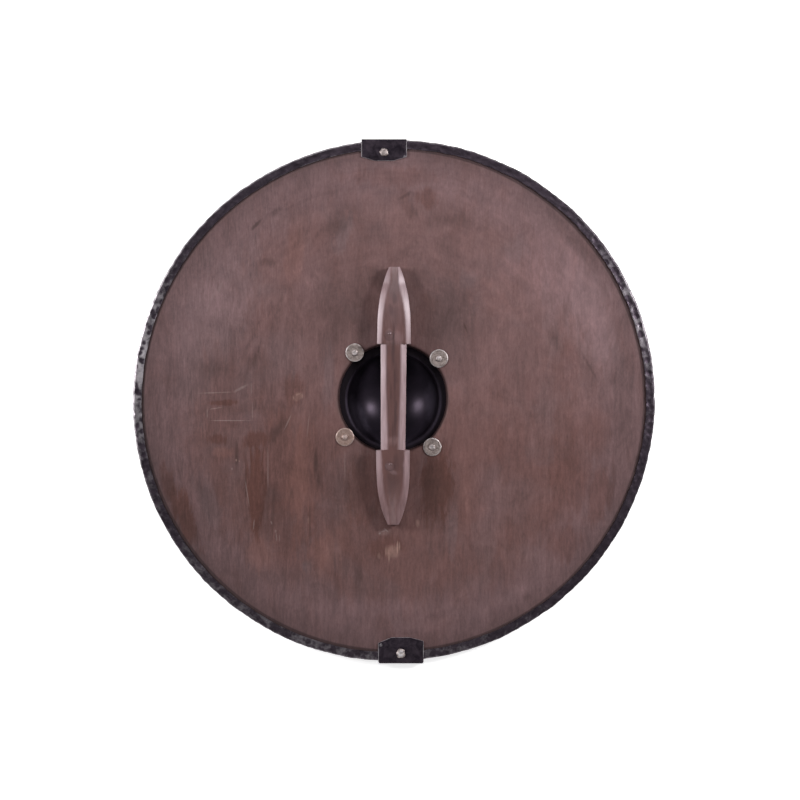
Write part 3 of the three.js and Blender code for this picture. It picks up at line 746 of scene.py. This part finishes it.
def black_paint():
    material, tree, where = new_material("black_paint_on_steel")
    faded = cloudy(tree, where, (22, 22, 22), 0, 1, (0.35, 0.75), detail=5, warp=0.6)
    chipped = cloudy(tree, where, (2.2, 2.2, 2.2), 0, 1, (0.735, 0.76), rough=0.7)
    reach, _, height, _ = round_the_middle(tree, where)
    # The ring of the flange inside the hand hole, on its back, is darkened as painted shade
    outside = {"Value": reach, "From Min": BOSS_INSIDE + 2.0, "From Max": BOSS_INSIDE + 4.5}
    outside = add(tree, "MapRange", outside, interpolation_type="SMOOTHSTEP")[0]
    flange_middle = -FIT_GAP - BOSS_SHEET / 2
    on_back = add(tree, "Math", {0: height, 1: flange_middle}, operation="GREATER_THAN")[0]
    flange_shade = add(tree, "Math", {0: outside, 1: on_back}, operation="MULTIPLY")[0]
    uneven = cloudy(tree, where, (12, 12, 12), -0.1, 0.1, shift=9.0)
    painted_glow = soft_marks(tree, where, BOSS_GLOW_MARKS, uneven, 1.3, 0.2)
    colour = linear(PAINT_BLACK)
    for amount, paint in (
        (faded, PAINT_FADED), (painted_glow, PAINT_GLOW), (chipped, PAINT_CHIPPED), (flange_shade, FLANGE_SHADE),
    ):
        colour = add(tree, "Mix", {"Factor": amount, 6: colour, 7: linear(paint)}, data_type="RGBA")[2]
    rough = cloudy(tree, where, (22, 22, 22), 0.29, 0.36, (0.2, 0.8), detail=5, shift=4.0)
    bend = {"Value": reach, "From Min": 48.0, "From Max": 53.0, "To Max": 0.28}
    rough = add(tree, "Math", {0: rough, 1: add(tree, "MapRange", bend)[0]}, operation="ADD")[0]
    sheen = {"Specular IOR Level": 0.22, "Specular Tint": (0.96, 0.76, 1.0, 1)}
    finish_surface(tree, colour, rough, faded, 0.2, **sheen)
    return material


def boss_mesh():
    outer = BOSS_INSIDE + BOSS_SHEET
    bend_out = BOSS_BEND - BOSS_SHEET
    back = -FIT_GAP
    front = back - BOSS_SHEET
    bowl_centre = back - BOSS_BEND - BOSS_NECK
    profile = arc(0, bowl_centre, outer, BOSS_DEEP + BOSS_SHEET, -90, 0, 24)
    profile += arc(outer + bend_out, front - bend_out, bend_out, bend_out, 180, 90, 4)
    profile += [(68, front), (76, front), (FLANGE_RADIUS - 0.5, front), (FLANGE_RADIUS, front + 0.5)]
    profile += [(FLANGE_RADIUS, back), (76, back), (68, back)]
    profile += arc(BOSS_INSIDE + BOSS_BEND, back - BOSS_BEND, BOSS_BEND, BOSS_BEND, 90, 180, 6)
    profile += arc(0, bowl_centre, BOSS_INSIDE, BOSS_DEEP, 0, -90, 24)
    bm = spun(profile, 160)
    down = Vector((0, -math.sin(lean), -math.cos(lean)))
    centre = Vector((0, 0, bowl_centre))
    reach = max((v.co - centre).dot(down) for v in bm.verts) - REST_FLAT
    for v in bm.verts:
        v.co -= down * max(0.0, (v.co - centre).dot(down) - reach)
    return bm


finish_piece(boss_mesh(), "boss_bowl", black_paint(), "black_boss", "boss", at=BOSS)

# %% [markdown]
# ## The grip
# A bar of hardwood, carved thin in the middle for the hand and left as a leaf-shaped pad at each end. It
# starts as one ring of vertices, and each step up the bar extrudes that ring and fits it to the outline
# there: a flat back, two sloping sides that are a little rounded, and a rounded foot under the bar.

# %% The grip's shape
GRIP_BASE = BOARD_THICK + FIT_GAP
GRIP_HIGH = 22.0
TIP_HIGH = 14.0
UPPER_SHOULDER = HAND_HOLE[1] + HAND_HOLE_RADIUS + 0.2
LOWER_SHOULDER = HAND_HOLE[1] - HAND_HOLE_RADIUS + 2.2
UPPER_PAD = 89.6
LOWER_PAD = 86.7
PAD_WIDE = 39.2
TIP_WIDE = 12.6
SHOULDER_STEP = 0.8
# How wide the sloping sides are on a pad, how steep, and how much they bulge for their width
FACET = 7.2
SLOPE = 0.44
ROUNDED_OUT = 0.02
print("grip:", round(UPPER_PAD + UPPER_SHOULDER - LOWER_SHOULDER + LOWER_PAD, 1), "mm long")


def pad_station(shoulder, tip, share, taper, facet, shifts):
    """Place, middle, half width, facet width, height and foot of a pad at one share of its length."""
    half = mix(PAD_WIDE, TIP_WIDE, share**taper) / 2
    facet = min(facet * (1 + 0.8 * share * share), half - 3.4)
    high = mix(GRIP_HIGH, TIP_HIGH, share**3)
    return mix(shoulder, tip, share), mix(*shifts, share), half, facet, high, 0.6, 0.6


def bar_station(share):
    """The same of the bar between the pads, from its lower to its upper end."""
    y = mix(LOWER_SHOULDER + SHOULDER_STEP, UPPER_SHOULDER - SHOULDER_STEP, share)
    half = mix(28.6, 30.2, share) / 2
    flat = mix(9.6, 14.8, soft_step(0, 0.7, share)) / 2
    return y, mix(-0.6, 0.1, share), half, half - flat, GRIP_HIGH, 3.0, 1.0


def grip_outline(y, middle, half, facet, high, foot, sheen_and_rub):
    """One outline of the bar, from its flat back round its foot, with each point's rubbing and painted
    sheen.
    """
    top = GRIP_BASE + high
    drop = facet * SLOPE
    right = [(half - facet - 1.6, top, 0.0), (half - facet - 0.4, top - 0.08, 0.0)]
    for i in range(1, 9):
        share = i / 8
        bulge = facet * ROUNDED_OUT * 4 * share * (1 - share)
        across = half - facet * (1 - share) - 0.15 * share**6
        right.append((across, top - drop * share + bulge, sheen_and_rub * soft_step(0, 0.4, share)))
    right += [(half, top - drop - 1.0, 0.5), (half, GRIP_BASE + foot + 4, 0.0)]
    right += [(half, GRIP_BASE + foot, 0.0), (half - foot * 0.3, GRIP_BASE + foot * 0.3, 0.0)]
    right += [(half - foot, GRIP_BASE, 0.0)]
    both = right + [(-x, z, rub_and_sheen) for x, z, rub_and_sheen in reversed(right)]
    return [(Vector((x + middle, y, z)), rub_and_sheen) for x, z, rub_and_sheen in both]


# %% [markdown]
# The outlines go up the bar from the lower tip to the upper one. The pads taper slowly at first and
# then quickly, like a leaf, and each leans a little to one side, as the carver left it. Extruding the
# last ring of edges once for each outline keeps the bar one closed skin.

# %% The grip's mesh
def grip_mesh():
    shares = [i / 36 for i in range(37)]
    lower = LOWER_SHOULDER, LOWER_SHOULDER - LOWER_PAD
    upper = UPPER_SHOULDER, UPPER_SHOULDER + UPPER_PAD
    stations = [pad_station(*lower, 1 - share, 3.2, FACET, (-0.8, -0.4)) for share in shares]
    stations += [bar_station(i / 24) for i in range(25)]
    stations += [pad_station(*upper, share, 2.95, FACET - 0.7, (0.4, 0.9)) for share in shares]
    outlines = [grip_outline(*station) for station in stations]
    bm = bmesh.new()
    wear_and_sheen = bm.verts.layers.float.new("wear_and_sheen")
    loop = bmesh.ops.create_circle(bm, cap_ends=False, segments=len(outlines[0]), radius=1)["verts"]
    edges = bm.edges[:]
    ends = [loop]
    for v, (place, rub_and_sheen) in zip(loop, outlines[0]):
        v.co = place
        v[wear_and_sheen] = rub_and_sheen
    for outline in outlines[1:]:
        made = bmesh.ops.extrude_edge_only(bm, edges=edges)["geom"]
        fresh = {g for g in made if isinstance(g, bmesh.types.BMVert)}
        edges = [g for g in made if isinstance(g, bmesh.types.BMEdge)]
        loop = [next(e.other_vert(v) for e in v.link_edges if e.other_vert(v) in fresh) for v in loop]
        for v, (place, rub_and_sheen) in zip(loop, outline):
            v.co = place
            v[wear_and_sheen] = rub_and_sheen
    ends.append(loop)
    for end in ends:
        bm.faces.new(end)
    bmesh.ops.recalc_face_normals(bm, faces=bm.faces)
    for v in bm.verts:
        if v.co.z > GRIP_BASE + 2:
            v.co.x += noise.noise(v.co / 22) * 0.3
            v.co.z += noise.noise(v.co / 18 + Vector((9, 0, 0))) * 0.25
    return bm


# %% [markdown]
# The grip has the board's stain, but on planed hardwood, and hands have polished it. So its roughness is
# low enough for the sloping sides to mirror the lights as pale bands. Those sides are also painted paler,
# partly as rubbed stain and partly as painted sheen.

# %% The grip's stain
GRIP_STAIN = "#5e3a32"
GRIP_DARK = "#33150d"
# Pale paint for rubbed stain, and for the painted sheen on the grip's sloping sides
GRIP_PALE = "#9b7d7f"
GRIP_SHEEN = (1.0, 0.81, 0.92, 1)

# Dark streaks and pale, rubbed parts of the grip's back, as marks like those of the board. The pale marks
# on the lower pad's sloping sides are painted sheen.
GRIP_STREAKS = [
    (0, 60, 2.2, 34, 0, 0.75), (1, 20, 2.0, 26, 1, 0.75), (-3, 10, 1.6, 18, 0, 0.5),
    (3, 34, 1.4, 20, 0, 0.45), (2, -20, 2.2, 24, -2, 0.75), (-1, -40, 1.6, 18, 0, 0.55),
    (2, -72, 4, 14, 0, 0.55), (-2, -94, 8, 16, 0, 0.4), (1, 118, 3.6, 10, 0, 0.6),
    (-3, 105, 3, 8, 0, 0.5), (3, 100, 3, 16, 0, 0.35), (0, 128, 7, 18, 0, 0.30),
]
GRIP_RUBS_AND_SHEEN = [
    (0, -136, 13, 26, 0, 0.24), (0, 156, 9, 8, 0, 0.26), (2, 73, 12, 10, 0, 0.34),
    (-2, -46, 9, 6, 0, 0.30), (0, 104, 14, 40, 0, 0.14), (-5, 79, 5.0, 5.0, 0, 0.44),
    (-5, -77, 5.2, 5.2, 0, 0.40), (-1, -83, 6, 2.6, -20, 0.46), (16, -98, 5, 44, 2, 0.62),
    (-18, -94, 5, 40, -2, 0.50),
]
GRIP_RIVETS = ("grip_rivet_upper", "grip_rivet_lower")
DISC_RINGS = [(*centre_of(name)[:2], 6.2, 6.2, 0, 0.4) for name in GRIP_RIVETS]
GRIP_SURFACE = {
    "Specular IOR Level": 1.0, "Specular Tint": GRIP_SHEEN, "Coat Weight": 0.8, "Coat Roughness": 0.36,
}


def polished_stain():
    material, tree, where = new_material("stained_hardwood")
    darker = cloudy(tree, where, (16, 30, 16), 0, 0.3, (0.35, 0.65), warp=0.6)
    ragged = cloudy(tree, where, (3, 16, 6), -0.25, 0.25, (0.25, 0.75), detail=4, shift=2.0)
    faint = add(tree, "Math", {0: ragged, 1: 0.2}, operation="MULTIPLY")[0]
    # The sloping sides' pale colour is partly rubbed stain and partly painted sheen
    worn_and_sheen = add(tree, "Attribute", attribute_name="wear_and_sheen")["Fac"]
    patchy = cloudy(tree, where, (3, 22, 6), 0.6, 1.0, shift=4.0)
    worn_and_sheen = add(tree, "Math", {0: worn_and_sheen, 1: patchy}, operation="MULTIPLY")[0]
    colour = linear(GRIP_STAIN)
    for amount, paint in ((darker, GRIP_DARK), (worn_and_sheen, GRIP_PALE)):
        colour = add(tree, "Mix", {"Factor": amount, 6: colour, 7: linear(paint)}, data_type="RGBA")[2]
    for marks, paint, edge, outer, inner in (
        (GRIP_RUBS_AND_SHEEN, GRIP_PALE, ragged, 1.3, 0.2), (GRIP_STREAKS, GRIP_DARK, ragged, 1.2, 0.3),
        (DISC_RINGS, GRIP_DARK, faint, 1.1, 0.85),
    ):
        amount = soft_marks(tree, where, marks, edge, outer, inner)
        colour = add(tree, "Mix", {"Factor": amount, 6: colour, 7: linear(paint)}, data_type="RGBA")[2]
    streaks = cloudy(tree, where, (2.6, 42, 5), 0.88, 1.12, (0.25, 0.75))
    fibres = cloudy(tree, where, (0.9, 20, 2), 0.93, 1.07, detail=3)
    for tone in (streaks, fibres):
        colour = add(tree, "VectorMath", {0: colour, "Scale": tone}, operation="SCALE")[0]
    rough = cloudy(tree, where, (16, 30, 16), 0.41, 0.49, (0.2, 0.8), shift=6.0)
    finish_surface(tree, colour, rough, streaks, 0.5, **GRIP_SURFACE)
    return material


grip_finish = polished_stain()
finish_piece(grip_mesh(), "grip_bar", grip_finish, "stained_grip", "grip", sharp=30)

# %% [markdown]
# ## The clips
# Each clip was cut from sheet as a strip with clipped corners and folded over the joint of the rim. So
# it is made the same way: a flat grid, shaped at its ends, wrapped round the fold, then given its
# thickness. The cut edges are marked as rubbed bright.

# %% The folded clip
CLIP_WIDE = 53.0
CLIP_SHEET = 1.2
CLIP_FOLD = 3.0
NOSE_FLAT = 21.5
# How far the nose is hammered down towards the board, and how uneven that leaves the sheet
CLIP_SETTLE = 1.2
CLIP_UNEVEN = 0.25
LEG_OUTSIDE = BOARD_THICK + FIT_GAP + RIM_SHEET + FIT_GAP + CLIP_SHEET
print("clips:", CLIP_WIDE, "mm wide, their backs", round(LEG_OUTSIDE, 1), "mm over the board's front")


def folded(run, leg):
    """Where a share of the flat strip comes to lie: how far in from the fold, and how high."""
    fold = CLIP_FOLD - CLIP_SHEET / 2
    straight = LEG_OUTSIDE - CLIP_SHEET / 2 - BOARD_THICK / 2 - fold
    bent = straight + fold * math.pi / 2
    run *= bent + leg
    if run < straight:
        return 0.0, run
    if run < bent:
        turn = (run - straight) / fold
        return fold * (1 - math.cos(turn)), straight + fold * math.sin(turn)
    return fold + run - bent, straight + fold


def clip_mesh(length, settle_from, corner, drops, scuff):
    """A clip from its length, where it bends to the board, its two kinds of corner and its scuff."""
    bm = bmesh.new()
    bmesh.ops.create_grid(bm, x_segments=48, y_segments=110, size=1)
    wear_and_sheen = bm.verts.layers.float.new("wear_and_sheen")
    for v in bm.verts:
        v[wear_and_sheen] = 1.0 if v.is_boundary else 0.0
        x = v.co.x * CLIP_WIDE / 2
        slope = max(0.0, abs(x) - NOSE_FLAT / 2) / (CLIP_WIDE / 2 - NOSE_FLAT / 2)
        side = 1 if v.co.y > 0 else -1
        leg = length - CLIP_FOLD - drops[0 if x < 0 else 1] * slope
        inward, high = folded(abs(v.co.y), leg)
        inward += CLIP_SHEET / 2
        x = v.co.x * (CLIP_WIDE / 2 - 0.7 * max(0.0, corner - inward))
        if side > 0:
            away = math.hypot(x - scuff[0], inward - length + scuff[1])
            v[wear_and_sheen] = max(v[wear_and_sheen], 0.8 * soft_step(3.0, 1.0, away))
        high -= CLIP_SETTLE * max(0.0, (inward - settle_from) / (length - settle_from))
        high += CLIP_UNEVEN * noise.noise(Vector((x / 17, inward / 12, side + length)))
        v.co = (x, inward, BOARD_THICK / 2 + side * high)
    bmesh.ops.recalc_face_normals(bm, faces=bm.faces)
    bmesh.ops.solidify(bm, geom=bm.faces[:], thickness=CLIP_SHEET)
    return bm


# %% [markdown]
# The two clips differ a little, as hand work does. The lower one stands further off the rim, is longer
# and has deeper clipped corners. Each has one bright scuff near its side edge, where it was knocked.

# %% The two clips
# Each clip: its place and side, how far it stands off the rim and reaches in past the lip, and how far
# past the lip its rivet is. Then its corners at the fold and at the nose, its scuff, and the radius and
# the shine of its rivet's hammered end.
CLIPS = {
    "top": {
        "x": TOP_CLIP_X, "side": 1, "standoff": 0.3, "reach": 14.0, "rivet_past_lip": 4.4,
        "corner": 1.0, "drops": (4.4, 4.4), "scuff": (-24.5, 4.4), "peen": 4.9, "shine": 0.0,
    },
    "bottom": {
        "x": BOTTOM_CLIP_X, "side": -1, "standoff": 2.6, "reach": 17.0, "rivet_past_lip": -1.3,
        "corner": 2.6, "drops": (6.5, 4.2), "scuff": (-23.5, 9.0), "peen": 5.3, "shine": 2.0,
    },
}

for name, clip in CLIPS.items():
    to_lip = CLIP_SHEET + clip["standoff"] + RIM_LIP
    settle_from = to_lip + clip["rivet_past_lip"] + clip["peen"] + FIT_GAP
    bm = clip_mesh(to_lip + clip["reach"], settle_from, clip["corner"], clip["drops"], clip["scuff"])
    if clip["side"] > 0:
        bmesh.ops.rotate(bm, verts=bm.verts, matrix=Matrix.Rotation(math.pi, 3, "Z"))
    at = clip["x"], clip["side"] * (RIM_RADIUS + clip["standoff"] + CLIP_SHEET)
    finish_piece(bm, "folded_clip_" + name, clip_steel, "black_clip", "clip_" + name, at=at)

# %% [markdown]
# ## Rivets and washers
# A rivet is one spin: a low factory head on the front, its shank, and an end hammered flat on the back.
# The hammered end is pushed about a little by a pattern, so no two catch the light alike.

# %% A rivet and a washer
HEAD_RADIUS = 5.0
WASHER_RADIUS = 10.65
WASHER_THICK = 1.5
WASHER_BORE = 2.7
print("rivet heads:", 2 * HEAD_RADIUS, "mm wide, washers:", 2 * WASHER_RADIUS, "mm wide")


def rivet_mesh(shank, front, head_high, back, peen, peen_high, ragged, shine, seed):
    """A rivet, with how ragged the outline of its hammered end is and how bright that end."""
    profile = arc(0, front, HEAD_RADIUS, head_high, -90, 0, 8) + [(shank, front), (shank, back)]
    profile += [(peen, back), (peen, back + peen_high * 0.35), (peen * 0.86, back + peen_high * 0.8)]
    for share in (0.7, 0.5, 0.3, 0.15, 0):
        profile.append((peen * share, back + peen_high * (1 - 0.1 * share)))
    bm = spun(profile, 40)
    wear_and_sheen = bm.verts.layers.float.new("wear_and_sheen")
    for v in bm.verts:
        if v.co.z > back - 0.01:
            reach = math.hypot(v.co.x, v.co.y)
            ring = Vector((v.co.x, v.co.y, 0)).normalized()
            spread = 1 + ragged * noise.noise(ring * 1.3 + Vector((0, 0, seed)))
            spread += 0.5 * ragged * noise.noise(ring * 3.5 + Vector((0, 0, seed)))
            v.co.x *= spread
            v.co.y *= spread
            if v.co.z > back + 0.1:
                v.co.z += 0.4 * noise.noise(v.co / 3 + Vector((0, 0, seed)))
                v[wear_and_sheen] = shine * soft_step(peen * 0.9, peen * 0.5, reach)
    return bm


def washer_mesh():
    low = BOARD_THICK + FIT_GAP
    high = low + WASHER_THICK
    ring = [(WASHER_BORE, low), (WASHER_RADIUS - 0.2, low), (WASHER_RADIUS, low + 0.3)]
    ring += [(WASHER_RADIUS, high - 0.5), (WASHER_RADIUS - 0.8, high), (WASHER_RADIUS - 1.3, high)]
    ring += [(6, high + 0.05), (5.2, high - 0.1), (4.4, high + 0.05), (WASHER_BORE, high)]
    bm = spun(ring, 56, closed=True)
    wear_and_sheen = bm.verts.layers.float.new("wear_and_sheen")
    for v in bm.verts:
        v[wear_and_sheen] = float(math.hypot(v.co.x, v.co.y) > WASHER_RADIUS - 1.0 and v.co.z > low + 0.5)
    return bm


# %% [markdown]
# Four rivets hold the boss, each with a washer under its hammered end. The two rivets of the clips have
# no washer, and their hammered ends are wider and more ragged.

# %% The rivets of the boss and the clips
BOSS_SHANK = 2.4
BOSS_PEEN = 3.8
FLANGE_FRONT = -BOSS_SHEET - 2 * FIT_GAP
OVER_WASHER = BOARD_THICK + 2 * FIT_GAP + WASHER_THICK
CLIP_SHANK = 2.6
CLIP_FRONT = BOARD_THICK - LEG_OUTSIDE - FIT_GAP
OVER_CLIP = LEG_OUTSIDE + FIT_GAP

for i, name in enumerate(sorted(n for n in nodes if n.startswith("boss_rivet_"))):
    at = centre_of(name)[:2]
    bm = rivet_mesh(BOSS_SHANK, FLANGE_FRONT, 2.2, OVER_WASHER, BOSS_PEEN, 1.7, 0.14, 1.0, 11.0 + i)
    finish_piece(bm, "peened_" + name, rivet_steel, "bare_rivet", name, at=at)
    washer = name.replace("rivet", "washer")
    finish_piece(washer_mesh(), "round_" + washer, washer_steel, "bare_washer", washer, at=at)

for side, clip in CLIPS.items():
    name = "clip_rivet_" + side
    peen = clip["peen"]
    bm = rivet_mesh(CLIP_SHANK, CLIP_FRONT, 1.2, OVER_CLIP, peen, 2.0, 0.2, clip["shine"], 21 + peen)
    finish_piece(bm, "peened_" + name, rivet_steel, "bare_rivet", name, at=centre_of(name)[:2])

# %% [markdown]
# The two rivets of the grip were sunk into the pads and stained over. What shows is a flat disc, with the
# hammered tip of the shank as a small nub off its middle.

# %% The rivets of the grip
GRIP_SHANK = 2.2
DISC = 5.2
NUB_AT = (0.4, 2.2)
NUB_HIGH = 0.8


def disc_rivet_mesh():
    top = GRIP_BASE + GRIP_HIGH
    profile = arc(0, FLANGE_FRONT, HEAD_RADIUS, 2.2, -90, 0, 8)
    profile += [(GRIP_SHANK, FLANGE_FRONT), (GRIP_SHANK, top - 1), (DISC, top - 1)]
    profile += [(DISC, top + 0.05), (DISC - 0.3, top + 0.35)]
    profile += [(0.4 * i, top + 0.4) for i in reversed(range(12))]
    bm = spun(profile, 40)
    for v in bm.verts:
        if v.co.z > top + 0.3:
            away = math.hypot(v.co.x - NUB_AT[0], v.co.y - NUB_AT[1])
            v.co.z += NUB_HIGH * soft_step(1.9, 0.7, away)
    return bm


for name in GRIP_RIVETS:
    at = centre_of(name)[:2]
    finish_piece(disc_rivet_mesh(), "disc_" + name, grip_finish, "stained_rivet", name, at=at)

# %% [markdown]
# ## The light
# Two small soft boxes stand low to the left and the right, and two weaker ones towards the shield's top
# and bottom. The side boxes are what the paint of the boss and the sloping sides of the grip reflect, and
# their shadows lie beside the grip. The side from which the camera looks stays dim, so black stays black.

# %% The lights
ROOM_TINT = (0.9, 0.9, 0.92, 1)
ROOM_DIM = 0.12


def soft_box(name, direction, away, size, power):
    """A rectangular light in a direction given in the shield's axes, turned to the boss."""
    light = bpy.data.lights.new(name, "AREA")
    light.shape = "RECTANGLE"
    light.size, light.size_y = size
    light.energy = power
    lamp = bpy.data.objects.new(name, light)
    towards = (leaned.to_3x3() @ Vector(direction)).normalized()
    turned = towards.to_track_quat("Z", "Y").to_matrix().to_4x4()
    lamp.matrix_world = Matrix.Translation(zero_point + towards * away) @ turned
    bpy.context.scene.collection.objects.link(lamp)
    print(name, power, "W,", away, "m away")


soft_box("box_right", (0.73, 0.295, 0.616), 1.9, (0.35, 0.33), 20)
soft_box("box_left", (-0.825, 0.215, 0.523), 1.9, (0.54, 0.52), 20)
soft_box("box_above", (0.0, 0.57, 0.82), 2.2, (0.8, 0.9), 7)
soft_box("box_below", (0.0, -0.52, 0.85), 2.2, (0.6, 0.9), 3)

world = bpy.data.worlds.new("studio")
world.use_nodes = True
room = world.node_tree.nodes["Background"].inputs
room["Color"].default_value = ROOM_TINT
room["Strength"].default_value = ROOM_DIM
bpy.context.scene.world = world

# %% [markdown]
# ## The floor
# The picture's background is pure white, so the floor is a wide sheet of white paper that also glows a
# little. It lies a hair below the shield, so that the two don't fight for the same plane.

# %% The floor
FLOOR_HALF_WIDE = 8
FLOOR_DROP = 0.0003
PAPER_WHITE = (0.9, 0.9, 0.9, 1)
PAPER_GLOW = 0.7

floor_bm = bmesh.new()
bmesh.ops.create_grid(floor_bm, x_segments=1, y_segments=1, size=FLOOR_HALF_WIDE)
bmesh.ops.translate(floor_bm, verts=floor_bm.verts, vec=(0, 0, -FLOOR_DROP))
floor_mesh = bpy.data.meshes.new("floor")
floor_bm.to_mesh(floor_mesh)
floor_bm.free()
floor = bpy.data.objects.new("floor", floor_mesh)
bpy.context.scene.collection.objects.link(floor)
paper = bpy.data.materials.new("white_paper")
paper.use_nodes = True
sheet = paper.node_tree.nodes["Principled BSDF"].inputs
sheet["Base Color"].default_value = PAPER_WHITE
sheet["Roughness"].default_value = 0.9
sheet["Emission Color"].default_value = (1, 1, 1, 1)
sheet["Emission Strength"].default_value = PAPER_GLOW
floor_mesh.materials.append(paper)
bpy.context.scene.view_settings.view_transform = "Standard"
print("floor:", 2 * FLOOR_HALF_WIDE, "m wide")
